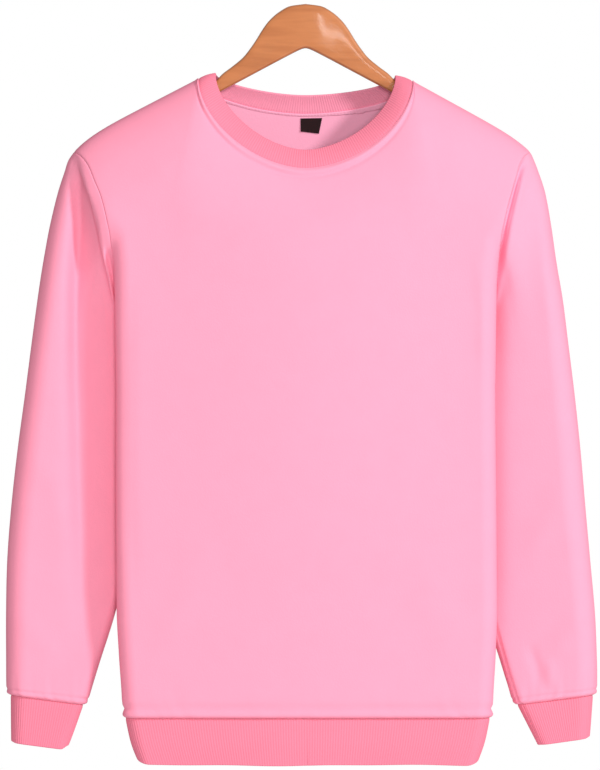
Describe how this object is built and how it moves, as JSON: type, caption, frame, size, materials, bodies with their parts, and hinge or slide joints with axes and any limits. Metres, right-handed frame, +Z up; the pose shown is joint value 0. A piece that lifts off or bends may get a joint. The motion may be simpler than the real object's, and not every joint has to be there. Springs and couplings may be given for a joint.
{
  "type": "crewneck sweatshirt on a wooden hanger",
  "caption": "Long-sleeved crewneck sweatshirt of brushed fleece with ribbed collar, cuffs and hem, hanging flat on a plain shaped wooden hanger.",
  "frame": {"origin": "top of the hanger's crown, at the middle of its thickness, where it is held", "axes": "+Z up, the front of the sweatshirt faces -Y, +X is the wearer's left"},
  "size_m": [0.5911, 0.1029, 0.7595],
  "materials": {
    "fleece": "soft brushed fleece, matt",
    "rib": "rib knit, matt",
    "label": "woven tape, smooth",
    "wood": "clear lacquer, semi-gloss"
  },
  "bodies": {
    "root": {"front": "fleece", "back": "fleece", "sleeve_left": "fleece", "sleeve_right": "fleece", "neck_rib": "rib", "hem_rib": "rib", "cuff_left": "rib", "cuff_right": "rib", "size_label": "label", "hanger": "wood"}
  },
  "joints": []
}
